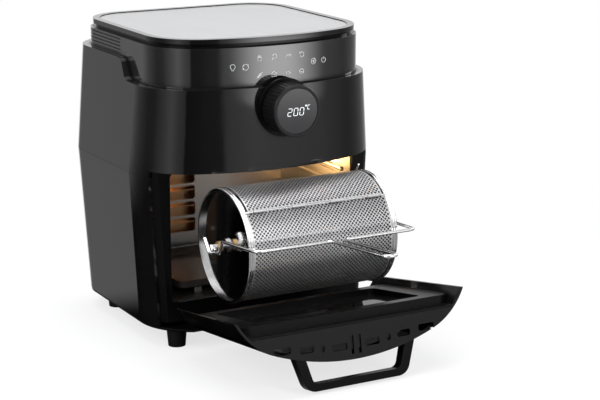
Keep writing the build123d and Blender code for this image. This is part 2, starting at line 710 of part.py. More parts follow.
cap_inner_x = drum_half_length - drum_rim_width
mesh = rod_x(drum_mesh_radius, -cap_inner_x, cap_inner_x, drum_y, drum_z)
mesh -= rod_x(drum_mesh_radius - drum_mesh_thickness, -cap_inner_x - 1, cap_inner_x + 1,
              drum_y, drum_z)
hatch_hole = drum_arc(drum_mesh_radius + 5, 12, drum_door_from_deg, drum_door_to_deg,
                      -drum_door_half_length, drum_door_half_length)
mesh -= hatch_hole
save("drum_mesh", mesh)

rim_outer_radius = drum_radius - 1.3
rim_inner_radius = drum_mesh_radius - 1.8
hub_radius = 9.0
plate_outer_x = drum_half_length - drum_cap_recess
plate_inner_x = plate_outer_x - drum_cap_sheet


def profile_box(x0, x1, r0, r1):
    return Pos((x0 + x1) / 2, (r0 + r1) / 2) * Rectangle(x1 - x0, r1 - r0)


cap_profile = profile_box(cap_inner_x, drum_half_length, rim_inner_radius, rim_outer_radius)
cap_profile += profile_box(plate_inner_x, plate_outer_x, shaft_radius, rim_inner_radius + 0.5)
cap_profile += profile_box(plate_inner_x - 4, plate_outer_x + 3, shaft_radius, hub_radius)
first_bead_x = drum_half_length - drum_bead - 0.2
for bead_x in (first_bead_x, first_bead_x - 1.8 * drum_bead):
    cap_profile += Pos(bead_x, drum_radius - drum_bead) * Circle(drum_bead)
cap_right = Pos(0, drum_y, drum_z) * revolve(cap_profile, Axis.X)
save("drum_cap_right", cap_right)
save("drum_cap_left", mirror(cap_right, Plane.YZ))

shaft = rod_x(shaft_radius, -shaft_left_tip, shaft_right_round, drum_y, drum_z)
tang = rod_x(shaft_radius, shaft_right_round, shaft_right_tip, drum_y, drum_z)
tang &= block(shaft_right_round, shaft_right_tip, drum_y - shaft_radius, drum_y + shaft_radius,
              drum_z - tang_thickness / 2, drum_z + tang_thickness / 2)
shaft += tang
save("drum_shaft", shaft)
bush = rod_x(bush_radius, -bush_x - bush_width, -bush_x, drum_y, drum_z)
bush -= rod_x(shaft_radius + bush_clearance, -130, 0, drum_y, drum_z)
save("shaft_bush", bush)

# ---- drum hatch on a wire hinge, with a bent latch wire on its free edge ----
hinge_angle = radians(hatch_hinge_deg)
wire_y = drum_y + hatch_hinge_radius * cos(hinge_angle)
wire_z = drum_z + hatch_hinge_radius * sin(hinge_angle)
hinge_wire = rod_x(hatch_wire_radius, -cap_inner_x, cap_inner_x, wire_y, wire_z)
for lug_x in hatch_lug_x:
    hinge_wire += drum_arc(hatch_hinge_radius, hatch_hinge_radius - drum_mesh_radius,
                           hatch_hinge_deg - hatch_lug_half_deg,
                           hatch_hinge_deg + hatch_lug_half_deg,
                           lug_x - hatch_lug_width / 2, lug_x + hatch_lug_width / 2)
save("drum_hinge_wire", hinge_wire)

hatch = drum_arc(drum_mesh_radius + 1.2, 1.0, drum_door_from_deg - 1.5, hatch_hinge_deg - 1.2,
                 -drum_door_half_length - 1.0, drum_door_half_length + 1.0)
hatch -= rod_x(hatch_knuckle_radius + seat_gap, -100, 100, wire_y, wire_z)
for knuckle_x in hatch_knuckle_x:
    x0 = knuckle_x - hatch_knuckle_length / 2
    x1 = knuckle_x + hatch_knuckle_length / 2
    knuckle = rod_x(hatch_knuckle_radius, x0, x1, wire_y, wire_z)
    knuckle += drum_arc(drum_mesh_radius + 1.2, 1.0, hatch_hinge_deg - 5, hatch_hinge_deg - 0.6,
                        x0, x1)
    hatch += knuckle
hatch -= rod_x(hatch_wire_radius + hinge_clearance, -100, 100, wire_y, wire_z)
hatch -= rod_x(drum_mesh_radius + 0.15, -100, 100, drum_y, drum_z)
save("drum_hatch", hatch)

# ---- spring-wire latch legs on the right end, turning on a rivet ----
latch_x = drum_half_length + seat_gap + latch_wire_radius
pivot_y = drum_y + latch_pivot_y
pivot_z = drum_z + latch_pivot_z
rivet_radius = 1.5
rivet = rod_x(rivet_radius, drum_half_length - drum_cap_recess, latch_x + 2.4, pivot_y, pivot_z)
rivet += rod_x(2 * rivet_radius, latch_x + 1.4, latch_x + 2.4, pivot_y, pivot_z)
save("drum_latch_rivet", rivet)
latch = rod_x(latch_eye_radius, latch_x - 1, latch_x + 1, pivot_y, pivot_z)
lean_y, lean_z = latch_leg_lean
lean_length = sqrt(lean_y * lean_y + lean_z * lean_z)
for spread in (-latch_leg_spread, latch_leg_spread):
    leg_y = pivot_y + spread * lean_z / lean_length
    leg_z = pivot_z - spread * lean_y / lean_length
    leg_plane = Plane(origin=(latch_x, leg_y, leg_z), z_dir=(0, lean_y, lean_z))
    latch += leg_plane * Pos(0, 0, lean_length / 2) * Cylinder(latch_wire_radius, lean_length)
    latch += Pos(latch_x, leg_y + lean_y, leg_z + lean_z) * Sphere(latch_tip_radius)
latch -= rod_x(rivet_radius + hinge_clearance, 90, 120, pivot_y, pivot_z)
latch -= rod_x(2 * rivet_radius + seat_gap, latch_x + 1.1, 120, pivot_y, pivot_z)
save("drum_latch", latch)

# ---- wire tool that carries the drum by its shaft ends ----
hook_z = drum_z - shaft_radius - tool_wire_radius - seat_gap


def wire(points, radii, radius):
    path = FilletPolyline(*points, radius=radii)
    section = Plane(origin=path @ 0, z_dir=path % 0) * Circle(radius)
    return sweep(section, path=path)


def tool_half(side, run_x):
    points = [
        (side * run_x, drum_y + 13, drum_z + 9),
        (side * run_x, drum_y, hook_z),
        (side * tool_hook_x, drum_y, hook_z),
        (side * tool_hook_x, drum_y - 10, hook_z + 1),
        (side * tool_hook_x, drum_y - 19, drum_z + 11),
        (side * (tool_hook_x - 4), tool_cross_y, tool_cross_z),
        (side * tool_grip_half_width, tool_cross_y, tool_cross_z),
        (side * tool_grip_half_width, tool_grip_y, tool_grip_z),
        (0, tool_grip_y, tool_grip_z),
    ]
    return wire(points, [2.2, 2.2, 3, 4, 8, 6, 7], tool_wire_radius)


fetch_tool = tool_half(-1, tool_left_run_x) + tool_half(1, tool_right_run_x)
save("fetch_tool", fetch_tool)
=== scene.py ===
import math

import bpy
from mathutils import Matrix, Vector


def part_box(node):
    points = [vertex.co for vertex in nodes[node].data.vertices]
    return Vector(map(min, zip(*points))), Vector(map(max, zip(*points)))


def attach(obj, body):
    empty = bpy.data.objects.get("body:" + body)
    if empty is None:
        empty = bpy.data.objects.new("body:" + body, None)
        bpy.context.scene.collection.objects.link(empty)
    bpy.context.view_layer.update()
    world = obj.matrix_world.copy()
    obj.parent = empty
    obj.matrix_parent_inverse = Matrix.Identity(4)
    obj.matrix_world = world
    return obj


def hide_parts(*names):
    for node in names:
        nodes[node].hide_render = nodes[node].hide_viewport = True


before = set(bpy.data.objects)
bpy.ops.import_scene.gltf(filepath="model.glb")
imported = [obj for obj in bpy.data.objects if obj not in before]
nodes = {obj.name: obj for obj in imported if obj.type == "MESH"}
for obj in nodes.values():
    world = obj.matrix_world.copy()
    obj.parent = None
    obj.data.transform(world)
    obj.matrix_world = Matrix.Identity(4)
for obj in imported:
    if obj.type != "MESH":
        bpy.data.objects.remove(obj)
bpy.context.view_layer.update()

# ---- camera ----
# A long lens at a low three-quarter view from the oven's left front corner. It aims to the right
# of the oven, which so stands left of the view's middle. All places are in metres.
OVEN_Y = 0.1345                    # the oven's own plan centre, behind the footprint's centre
scene = bpy.context.scene
scene.view_settings.view_transform = "Standard"

view_azimuth = math.radians(-29.0)
view_elevation = math.radians(14.0)
view_distance = 2.3588
aim = Vector((0.1136, OVEN_Y, 0.1366))
view_back = Vector((
    math.sin(view_azimuth) * math.cos(view_elevation),
    -math.cos(view_azimuth) * math.cos(view_elevation),
    math.sin(view_elevation),
))
bpy.ops.object.camera_add(location=aim + view_distance * view_back)
camera = bpy.context.object
camera.rotation_euler = view_back.to_track_quat("Z", "Y").to_euler()
camera.data.lens = 104.27
camera.data.sensor_width = 36.0
camera.data.clip_end = 60.0
scene.camera = camera

# ---- floor ----
# A pale matt sweep that the oven stands on. The camera sees it brighter than it is lit, and white
# away from the oven, so that the shadow under the feet and the door stays.


def link(tree, source, target):
    tree.links.new(source, target)


def empty_tree(owner):
    owner.use_nodes = True
    owner.node_tree.nodes.clear()
    return owner.node_tree


def math_node(tree, operation, second=None):
    node = tree.nodes.new("ShaderNodeMath")
    node.operation = operation
    if second is not None:
        node.inputs[1].default_value = second
    return node


def vector_node(tree, operation, second=None):
    node = tree.nodes.new("ShaderNodeVectorMath")
    node.operation = operation
    if second is not None:
        node.inputs[1].default_value = second
    return node


def range_node(tree, from_range=(0, 1), to_range=(0, 1), smooth=False):
    node = tree.nodes.new("ShaderNodeMapRange")
    node.interpolation_type = "SMOOTHSTEP" if smooth else "LINEAR"
    for name, value in zip(("From Min", "From Max", "To Min", "To Max"), (*from_range, *to_range)):
        node.inputs[name].default_value = value
    return node


bpy.ops.mesh.primitive_grid_add(x_subdivisions=8, y_subdivisions=8, size=24, location=(0, 0, 0))
floor = bpy.context.object
floor.name = "studio_floor"
bpy.ops.object.transform_apply(location=True, rotation=True, scale=True)
floor_finish = bpy.data.materials.new("white sweep")
tree = empty_tree(floor_finish)
output = tree.nodes.new("ShaderNodeOutputMaterial")
paint = tree.nodes.new("ShaderNodeBsdfDiffuse")
paint.inputs["Color"].default_value = (0.86, 0.86, 0.86, 1)
glow = tree.nodes.new("ShaderNodeEmission")
glow.inputs["Color"].default_value = (1, 1, 1, 1)
place = tree.nodes.new("ShaderNodeTexCoord")
distance = vector_node(tree, "LENGTH")
fade = range_node(tree, (0.32, 0.75), (0.72, 1.0), smooth=True)
path = tree.nodes.new("ShaderNodeLightPath")
seen = math_node(tree, "MAXIMUM")
weight = math_node(tree, "MULTIPLY")
mix = tree.nodes.new("ShaderNodeMixShader")
link(tree, place.outputs["Object"], distance.inputs[0])
link(tree, distance.outputs["Value"], fade.inputs["Value"])
link(tree, path.outputs["Is Camera Ray"], seen.inputs[0])
link(tree, path.outputs["Is Transmission Ray"], seen.inputs[1])
link(tree, seen.outputs[0], weight.inputs[0])
link(tree, fade.outputs["Result"], weight.inputs[1])
link(tree, weight.outputs[0], mix.inputs[0])
link(tree, paint.outputs[0], mix.inputs[1])
link(tree, glow.outputs[0], mix.inputs[2])
link(tree, mix.outputs[0], output.inputs["Surface"])
floor.data.materials.append(floor_finish)
floor.visible_glossy = False

# ---- room ----
# The surroundings are white to the camera and an even pale light on matt surfaces. Polished
# ones mirror a ring of pale and dark panels, with a light ceiling above and a grey table below.


def blend_towards(tree, colour):
    blend = tree.nodes.new("ShaderNodeMix")
    blend.data_type = "RGBA"
    blend.inputs["B"].default_value = (*colour, 1)
    return blend


world = bpy.data.worlds.new("studio")
scene.world = world
tree = empty_tree(world)
output = tree.nodes.new("ShaderNodeOutputWorld")
room = tree.nodes.new("ShaderNodeBackground")
room.inputs["Color"].default_value = (0.95, 0.97, 1.0, 1)
room.inputs["Strength"].default_value = 0.40
backdrop = tree.nodes.new("ShaderNodeBackground")
backdrop.inputs["Color"].default_value = (1, 1, 1, 1)
mirrored = tree.nodes.new("ShaderNodeBackground")
heading = tree.nodes.new("ShaderNodeTexCoord")
split = tree.nodes.new("ShaderNodeSeparateXYZ")
to_front = math_node(tree, "MULTIPLY", -1.0)
turn = math_node(tree, "ARCTAN2")
turn_range = range_node(tree, (-math.pi, math.pi))
panels = tree.nodes.new("ShaderNodeValToRGB")
# Each panel edge is a heading in degrees, 0 in front and 90 on the right, and its brightness.
panel_edges = (
    (-180, 0.25), (-166, 0.28), (-155, 0.42), (-131, 0.26), (-112, 0.12), (-98, 0.14), (-80, 0.50),
    (-66, 0.85), (-54, 0.50), (-43, 0.32), (-41, 0.01), (-22, 0.03), (-5, 0.10), (-2, 0.52),
    (12, 0.74), (50, 0.50), (68, 0.20), (95, 0.25), (120, 0.30), (180, 1.0),
)
stops = panels.color_ramp.elements
for degrees, level in panel_edges[1:-1]:
    stops.new((degrees + 180) / 360)
for stop, (degrees, level) in zip(stops, panel_edges):
    stop.position = (degrees + 180) / 360
    stop.color = (level, level, level, 1)
ceiling = range_node(tree, (-0.06, 0.16), smooth=True)
table = range_node(tree, (-0.38, -0.75), smooth=True)
above_table = blend_towards(tree, (0.55, 0.54, 0.53))
below_ceiling = blend_towards(tree, (0.86, 0.86, 0.87))
path = tree.nodes.new("ShaderNodeLightPath")
seen = math_node(tree, "MAXIMUM")
mix = tree.nodes.new("ShaderNodeMixShader")
mix_mirrored = tree.nodes.new("ShaderNodeMixShader")
link(tree, heading.outputs["Generated"], split.inputs["Vector"])
link(tree, split.outputs["Y"], to_front.inputs[0])
link(tree, split.outputs["X"], turn.inputs[0])
link(tree, to_front.outputs[0], turn.inputs[1])
link(tree, turn.outputs[0], turn_range.inputs["Value"])
link(tree, turn_range.outputs["Result"], panels.inputs["Fac"])
link(tree, split.outputs["Z"], ceiling.inputs["Value"])
link(tree, ceiling.outputs["Result"], below_ceiling.inputs["Factor"])
link(tree, split.outputs["Z"], table.inputs["Value"])
link(tree, table.outputs["Result"], above_table.inputs["Factor"])
link(tree, panels.outputs["Color"], above_table.inputs["A"])
link(tree, above_table.outputs["Result"], below_ceiling.inputs["A"])
link(tree, below_ceiling.outputs["Result"], mirrored.inputs["Color"])
link(tree, path.outputs["Is Glossy Ray"], mix_mirrored.inputs[0])
link(tree, room.outputs[0], mix_mirrored.inputs[1])
link(tree, mirrored.outputs[0], mix_mirrored.inputs[2])
link(tree, path.outputs["Is Camera Ray"], seen.inputs[0])
link(tree, path.outputs["Is Transmission Ray"], seen.inputs[1])
link(tree, seen.outputs[0], mix.inputs[0])
link(tree, mix_mirrored.outputs[0], mix.inputs[1])
link(tree, backdrop.outputs[0], mix.inputs[2])
link(tree, mix.outputs[0], output.inputs["Surface"])

# ---- soft boxes ----
# Four rectangular lamps at a plain level stand left, in front, right and above. Each has its
# name, place, width, height and watts, and is turned to the oven's middle.
oven_middle = Vector((0, OVEN_Y, 0.2))
softboxes = (
    ("key_box", (-1.9, -0.5, 1.35), 1.3, 1.5, 34),
    ("front_box", (0.55, -2.2, 1.5), 0.9, 1.3, 22),
    ("right_box", (1.8, 0.1, 1.2), 0.8, 1.4, 18),
    ("top_box", (0.0, 0.5, 2.2), 2.0, 1.6, 34),
)
for name, spot, width, tall, watts in softboxes:
    bpy.ops.object.light_add(type="AREA", location=spot)
    light = bpy.context.object
    light.name = name
    light.data.shape = "RECTANGLE"
    light.data.size = width
    light.data.size_y = tall
    light.data.energy = watts
    from_oven = Vector(spot) - oven_middle
    light.rotation_euler = from_oven.to_track_quat("Z", "Y").to_euler()

# ---- mirror cards ----
# A bright card in front on the right, a dark one beside the left front corner and a dark one
# lying under the oven and its door, painted shade for the shadow under them. Polished surfaces
# alone see them, each fading from its middle.


def mirror_card(name, spot, size, turned, level, reach, core):
    """A card that fades out between the core and the whole of its reach, across and up."""
    bpy.ops.object.select_all(action="DESELECT")
    bpy.ops.mesh.primitive_grid_add(x_subdivisions=4, y_subdivisions=4, size=1)
    card = bpy.context.object
    card.name = name
    card.scale = (*size, 1)
    card.rotation_euler = [math.radians(angle) for angle in turned]
    card.location = spot
    bpy.ops.object.transform_apply(location=True, rotation=True, scale=True)
    card_finish = bpy.data.materials.new(name)
    tree = empty_tree(card_finish)
    output = tree.nodes.new("ShaderNodeOutputMaterial")
    sheen = tree.nodes.new("ShaderNodeEmission")
    sheen.inputs["Strength"].default_value = level
    clear = tree.nodes.new("ShaderNodeBsdfTransparent")
    place = tree.nodes.new("ShaderNodeTexCoord")
    from_middle = vector_node(tree, "SUBTRACT", spot)
    in_reach = vector_node(tree, "DIVIDE", reach)
    flatten = vector_node(tree, "MULTIPLY", (1, 1, 0))
    across = vector_node(tree, "LENGTH")
    split = tree.nodes.new("ShaderNodeSeparateXYZ")
    up = math_node(tree, "ABSOLUTE")
    fade_across, fade_up = [range_node(tree, (part, 1), (1, 0), smooth=True) for part in core]
    both = math_node(tree, "MULTIPLY")
    mix = tree.nodes.new("ShaderNodeMixShader")
    link(tree, place.outputs["Object"], from_middle.inputs[0])
    link(tree, from_middle.outputs["Vector"], in_reach.inputs[0])
    link(tree, in_reach.outputs["Vector"], flatten.inputs[0])
    link(tree, flatten.outputs["Vector"], across.inputs[0])
    link(tree, across.outputs["Value"], fade_across.inputs["Value"])
    link(tree, in_reach.outputs["Vector"], split.inputs["Vector"])
    link(tree, split.outputs["Z"], up.inputs[0])
    link(tree, up.outputs[0], fade_up.inputs["Value"])
    link(tree, fade_across.outputs["Result"], both.inputs[0])
    link(tree, fade_up.outputs["Result"], both.inputs[1])
    link(tree, both.outputs[0], mix.inputs[0])
    link(tree, clear.outputs[0], mix.inputs[1])
    link(tree, sheen.outputs[0], mix.inputs[2])
    link(tree, mix.outputs[0], output.inputs["Surface"])
    card.data.materials.append(card_finish)
    card.visible_camera = False
    card.visible_diffuse = False
    card.visible_shadow = False
    card.visible_transmission = False


mirror_card("bright_card", spot=(0.45, -0.93, 0.187), size=(1.5, 0.14), turned=(90, 0, 27),
            level=4.6, reach=(0.62, 0.62, 0.064), core=(0.05, 0.62))
mirror_card("dark_card", spot=(-0.205, 0.072, 0.09), size=(0.5, 0.5), turned=(90, 0, 0),
            level=0.0, reach=(0.16, 1.0, 0.17), core=(0.35, 0.35))
# Painted shade: this dark card stands in for the oven's shadow on the floor, as polished surfaces mirror
# it.
mirror_card("under_oven_painted_shade_card", spot=(-0.05, 0.06, -0.015), size=(0.8, 0.6), turned=(0, 0, 0),
            level=0.0, reach=(0.36, 0.29, 1.0), core=(0.62, 0.62))

# ---- black housings ----
# Two injection-moulded shells of heat-resistant plastic with the touch band and the lid rim on
# top, gloss outside, and the satin base plate and front frame. The moulding leaves a fine grain,
# and painted shade thins the gloss coat in grooves, seams and recesses.


def new_group(name, inputs, outputs):
    """A node group with these sockets, its way in, its way out and the piece's own coordinates."""
    group = bpy.data.node_groups.new(name, "ShaderNodeTree")
    for socket_name, kind, value in inputs:
        socket = group.interface.new_socket(socket_name, in_out="INPUT", socket_type=kind)
        socket.default_value = value
    for socket_name, kind in outputs:
        group.interface.new_socket(socket_name, in_out="OUTPUT", socket_type=kind)
    enter = group.nodes.new("NodeGroupInput")
    leave = group.nodes.new("NodeGroupOutput")
    place = group.nodes.new("ShaderNodeTexCoord")
    return group, enter, leave, place.outputs["Object"]


def noise_node(tree, vector, scale, detail):
    noise = tree.nodes.new("ShaderNodeTexNoise")
    noise.inputs["Scale"].default_value = scale
    noise.inputs["Detail"].default_value = detail
    link(tree, vector, noise.inputs["Vector"])
    return noise


moulding, enter, leave, coordinates = new_group(
    "moulded surface",
    (("Colour", "NodeSocketColor", (0.02, 0.02, 0.02, 1)), ("Gloss", "NodeSocketFloat", 0.2),
     ("Haze", "NodeSocketFloat", 0.08), ("Grain", "NodeSocketFloat", 0.02),
     ("Grain Scale", "NodeSocketFloat", 900.0)),
    (("Colour", "NodeSocketColor"), ("Roughness", "NodeSocketFloat"), ("Normal", "NodeSocketVector"),
     ("Clear Of Painted Shade", "NodeSocketFloat")),
)
haze = noise_node(moulding, coordinates, 14.0, 5.0)
grain = noise_node(moulding, coordinates, 900.0, 2.0)
haze_amount = math_node(moulding, "MULTIPLY")
roughness = math_node(moulding, "ADD")
tint = moulding.nodes.new("ShaderNodeHueSaturation")
tint_value = range_node(moulding, to_range=(0.85, 1.2))
relief = moulding.nodes.new("ShaderNodeBump")
relief.inputs["Distance"].default_value = 0.0004
edge_round = moulding.nodes.new("ShaderNodeBevel")
edge_round.samples = 4
edge_round.inputs["Radius"].default_value = 0.0009
# Painted shade: an occlusion test gives a factor that thins the gloss coat in grooves, seams and recesses,
# so they look darker.
painted_recess_shade = moulding.nodes.new("ShaderNodeAmbientOcclusion")
painted_recess_shade.samples = 6
painted_recess_shade.inputs["Distance"].default_value = 0.007
painted_recess_shade_range = range_node(moulding, (0.55, 0.92), (0.05, 1.0))
link(moulding, painted_recess_shade.outputs["AO"], painted_recess_shade_range.inputs["Value"])
link(moulding, painted_recess_shade_range.outputs["Result"], leave.inputs["Clear Of Painted Shade"])
link(moulding, edge_round.outputs["Normal"], relief.inputs["Normal"])
link(moulding, enter.outputs["Grain Scale"], grain.inputs["Scale"])
link(moulding, haze.outputs["Fac"], haze_amount.inputs[0])
link(moulding, enter.outputs["Haze"], haze_amount.inputs[1])
link(moulding, enter.outputs["Gloss"], roughness.inputs[0])
link(moulding, haze_amount.outputs[0], roughness.inputs[1])
link(moulding, haze.outputs["Fac"], tint_value.inputs["Value"])
link(moulding, enter.outputs["Colour"], tint.inputs["Color"])
link(moulding, tint_value.outputs["Result"], tint.inputs["Value"])
link(moulding, grain.outputs["Fac"], relief.inputs["Height"])
link(moulding, enter.outputs["Grain"], relief.inputs["Strength"])
link(moulding, tint.outputs["Color"], leave.inputs["Colour"])
link(moulding, roughness.outputs[0], leave.inputs["Roughness"])
link(moulding, relief.outputs["Normal"], leave.inputs["Normal"])


def new_finish(name):
    finish = bpy.data.materials.new(name)
    finish.use_nodes = True
    return finish, finish.node_tree, finish.node_tree.nodes["Principled BSDF"]


def place_group(tree, shader, group, values):
    """Places the group with its values and lets it set the shader's colour, roughness and normal."""
    surface = tree.nodes.new("ShaderNodeGroup")
    surface.node_tree = group
    for socket_name, value in values.items():
        surface.inputs[socket_name].default_value = value
    link(tree, surface.outputs["Colour"], shader.inputs["Base Color"])
    link(tree, surface.outputs["Roughness"], shader.inputs["Roughness"])
    link(tree, surface.outputs["Normal"], shader.inputs["Normal"])
    return surface


def moulded(name, colour, gloss, haze_level, grain_level, grain_scale,
            specular=0.5, coat=0.0, coat_ior=1.5):
    finish, tree, shader = new_finish(name)
    shader.inputs["Specular IOR Level"].default_value = specular
    shader.inputs["Coat IOR"].default_value = coat_ior
    shader.inputs["Coat Roughness"].default_value = 0.04
    surface = place_group(tree, shader, moulding, {
        "Colour": (*colour, 1), "Gloss": gloss, "Haze": haze_level,
        "Grain": grain_level, "Grain Scale": grain_scale,
    })
    if coat > 0:
        # Painted shade: the coat is thinned where the group's occlusion test finds grooves and recesses.
        painted_shade_coat = math_node(tree, "MULTIPLY", coat)
        link(tree, surface.outputs["Clear Of Painted Shade"], painted_shade_coat.inputs[0])
        link(tree, painted_shade_coat.outputs[0], shader.inputs["Coat Weight"])
    return finish


def dress(finish, *names):
    for name in names:
        nodes[name].material_slots[0].material = finish


gloss_black = moulded("gloss black housing", (0.0035, 0.0035, 0.0037), 0.12, 0.05, 0.015, 1500,
                      specular=0.06, coat=1.0)
touch_panel = moulded("touch panel", (0.006, 0.006, 0.0063), 0.12, 0.05, 0.01, 1500,
                      specular=0.06, coat=1.0, coat_ior=1.74)
satin_black = moulded("satin black trim", (0.0022, 0.0022, 0.0024), 0.24, 0.10, 0.08, 2200,
                      specular=0.10)
dress(gloss_black, "upper_housing", "lower_housing", "lid_rim")
dress(touch_panel, "touch_band")
dress(satin_black, "front_frame", "base_plate")

# ---- feet ----
# Four moulded rubber feet under the base plate. They are matt, with a coarser grain than the
# plastic round them.
foot_rubber = moulded("foot rubber", (0.003, 0.003, 0.003), 0.55, 0.15, 0.35, 1300, specular=0.2)
dress(foot_rubber, "rubber_feet")

# ---- top plate ----
# A stainless panel let into the lid rim. It is brushed from front to back, so its grain is drawn
# out along that way, with a few faint smudges over it.
brushing, enter, leave, coordinates = new_group(
    "brushed surface",
    (("Colour", "NodeSocketColor", (0.6, 0.6, 0.6, 1)), ("Polish", "NodeSocketFloat", 0.25),
     ("Streak", "NodeSocketFloat", 0.12), ("Depth", "NodeSocketFloat", 0.15),
     ("Direction", "NodeSocketVector", (900.0, 12.0, 900.0))),
    (("Colour", "NodeSocketColor"), ("Roughness", "NodeSocketFloat"), ("Normal", "NodeSocketVector")),
)
stretch = vector_node(brushing, "MULTIPLY")
streaks = noise_node(brushing, stretch.outputs["Vector"], 1.0, 4.0)
smudge = noise_node(brushing, coordinates, 18.0, 6.0)
streak_amount = math_node(brushing, "MULTIPLY")
roughness = math_node(brushing, "ADD")
smudge_amount = math_node(brushing, "MULTIPLY_ADD", 0.08)
tint = brushing.nodes.new("ShaderNodeHueSaturation")
tint_value = range_node(brushing, to_range=(0.9, 1.1))
relief = brushing.nodes.new("ShaderNodeBump")
relief.inputs["Distance"].default_value = 0.0003
link(brushing, coordinates, stretch.inputs[0])
link(brushing, enter.outputs["Direction"], stretch.inputs[1])
link(brushing, streaks.outputs["Fac"], streak_amount.inputs[0])
link(brushing, enter.outputs["Streak"], streak_amount.inputs[1])
link(brushing, enter.outputs["Polish"], roughness.inputs[0])
link(brushing, streak_amount.outputs[0], roughness.inputs[1])
link(brushing, smudge.outputs["Fac"], smudge_amount.inputs[0])
link(brushing, roughness.outputs[0], smudge_amount.inputs[2])
link(brushing, streaks.outputs["Fac"], tint_value.inputs["Value"])
link(brushing, enter.outputs["Colour"], tint.inputs["Color"])
link(brushing, tint_value.outputs["Result"], tint.inputs["Value"])
link(brushing, streaks.outputs["Fac"], relief.inputs["Height"])
link(brushing, enter.outputs["Depth"], relief.inputs["Strength"])
link(brushing, tint.outputs["Color"], leave.inputs["Colour"])
link(brushing, smudge_amount.outputs[0], leave.inputs["Roughness"])
link(brushing, relief.outputs["Normal"], leave.inputs["Normal"])


def brushed(name, colour, polish, streak, depth, direction, metal=1.0):
    finish, tree, shader = new_finish(name)
    shader.inputs["Metallic"].default_value = metal
    place_group(tree, shader, brushing, {
        "Colour": (*colour, 1), "Polish": polish, "Streak": streak,
        "Depth": depth, "Direction": direction,
    })
    return finish


top_steel = brushed("brushed lid steel", (0.58, 0.582, 0.585), 0.30, 0.10, 0.05, (1100, 8, 1100))
dress(top_steel, "top_plate")

# ---- cavity ----
# Folded stainless sheet, satin on the walls and roof and duller on the floor. The rear air duct's
# orange colour is painted warm lamp light, the sill under the opening is bright, and the heating
# element is dull.
wall_steel = brushed("cavity steel", (0.50, 0.49, 0.48), 0.28, 0.10, 0.04, (40, 10, 1200))
duct_steel = brushed("duct steel", (0.20, 0.19, 0.18), 0.34, 0.10, 0.05, (40, 40, 900))
# Painted light: the duct's orange base colour stands in for the warm lamp's light on its louvres.
painted_lamp_light_steel = brushed("steel with painted lamp light", (0.60, 0.37, 0.20), 0.26, 0.10, 0.05, (40, 40, 900))
sill_steel = brushed("bright sill", (0.72, 0.71, 0.70), 0.16, 0.08, 0.03, (12, 900, 900))
dress(wall_steel, "cavity_left_wall", "cavity_right_wall", "cavity_back_wall", "cavity_roof",
      "heater_guard", "drum_rest_left")
dress(duct_steel, "cavity_floor", "heating_element")
dress(painted_lamp_light_steel, "rear_air_duct")
dress(sill_steel, "sill_strip")

# ---- drives and control board ----
# Two plain steel motors, one for the fan under the roof and one for the drum behind the right
# wall, the green circuit board behind the knob, and the sintered bush on the drum's shaft.
board_green = moulded("circuit board", (0.02, 0.09, 0.04), 0.35, 0.1, 0.1, 900)
bush_bronze = brushed("sintered bush", (0.45, 0.30, 0.14), 0.42, 0.10, 0.08, (900, 300, 300))
dress(wall_steel, "drive_motor_plate", "hot_air_fan", "drive_fork")
dress(duct_steel, "fan_motor", "drive_motor")
dress(board_green, "control_board", "knob_encoder")
dress(bush_bronze, "shaft_bush")

# ---- lamp ----
# A warm bulb in a ceramic socket shines through a fluted glass lens in the right wall. One soft
# spot carries its light on to that wall and the other to the louvres of the rear air duct.


def light_up(shader, colour, strength):
    shader.inputs["Emission Color"].default_value = (*colour, 1)
    shader.inputs["Emission Strength"].default_value = strength


def vary_roughness(tree, shader, texture, smoothest, roughest):
    spread = range_node(tree, to_range=(smoothest, roughest))
    link(tree, texture.outputs["Fac"], spread.inputs["Value"])
    link(tree, spread.outputs["Result"], shader.inputs["Roughness"])


socket_clay = moulded("lamp socket ceramic", (0.62, 0.60, 0.55), 0.5, 0.1, 0.2, 700)
dress(socket_clay, "lamp_socket")
lamp_glow, tree, shader = new_finish("warm lamp glass")
shader.inputs["Base Color"].default_value = (1.0, 0.85, 0.6, 1)
light_up(shader, (1.0, 0.66, 0.30), 6.0)
place = tree.nodes.new("ShaderNodeTexCoord")
flutes = tree.nodes.new("ShaderNodeTexWave")
flutes.inputs["Scale"].default_value = 60.0
flutes.inputs["Distortion"].default_value = 1.0
link(tree, place.outputs["Object"], flutes.inputs["Vector"])
vary_roughness(tree, shader, flutes, 0.12, 0.3)
dress(lamp_glow, "lamp_lens", "lamp_bulb")

# Each spot has its name, place, the way its back points, opening in degrees, softness of its
# edge, watts, colour and radius.
lamp_y = OVEN_Y - 0.02
lamp_spots = (
    ("cavity_lamp", (0.062, lamp_y, 0.196), (-1.0, -0.25, -0.35), 140, 0.8, 1.5, (1.0, 0.56, 0.20), 0.012),
    ("louvre_glow", (0.02, lamp_y, 0.205), (0.82, -0.80, 0.42), 44, 0.9, 0.9, (1.0, 0.50, 0.20), 0.02),
)
for name, spot, backwards, opening, edge_softness, watts, colour, lamp_radius in lamp_spots:
    bpy.ops.object.light_add(type="SPOT", location=spot)
    light = bpy.context.object
    light.name = name
    light.rotation_euler = Vector(backwards).to_track_quat("Z", "Y").to_euler()
    light.data.spot_size = math.radians(opening)
    light.data.spot_blend = edge_softness
    light.data.energy = watts
    light.data.color = colour
    light.data.shadow_soft_size = lamp_radius

# ---- upper guide ribs ----
# Two rounded beads in the right wall, one above and one below the top guide. They are pressed
# from the same sheet as the wall and stiffen it; their backs are sunk a little into it.
wall_sheet = 0.001
rib_depth = 0.0038
rib_height = 0.0060
rib_length = 0.185
rib_sunk = 0.0003
rib_edge_radius = 0.0018
rib_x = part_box("cavity_right_wall")[1].x - wall_sheet + rib_sunk - rib_depth / 2
rib_y = OVEN_Y + 0.008


def join_pieces(first, others):
    bpy.ops.object.select_all(action="DESELECT")
    for piece in (first, *others):
        piece.select_set(True)
    bpy.context.view_layer.objects.active = first
    bpy.ops.object.join()
    bpy.ops.object.shade_smooth_by_angle(angle=math.radians(35))


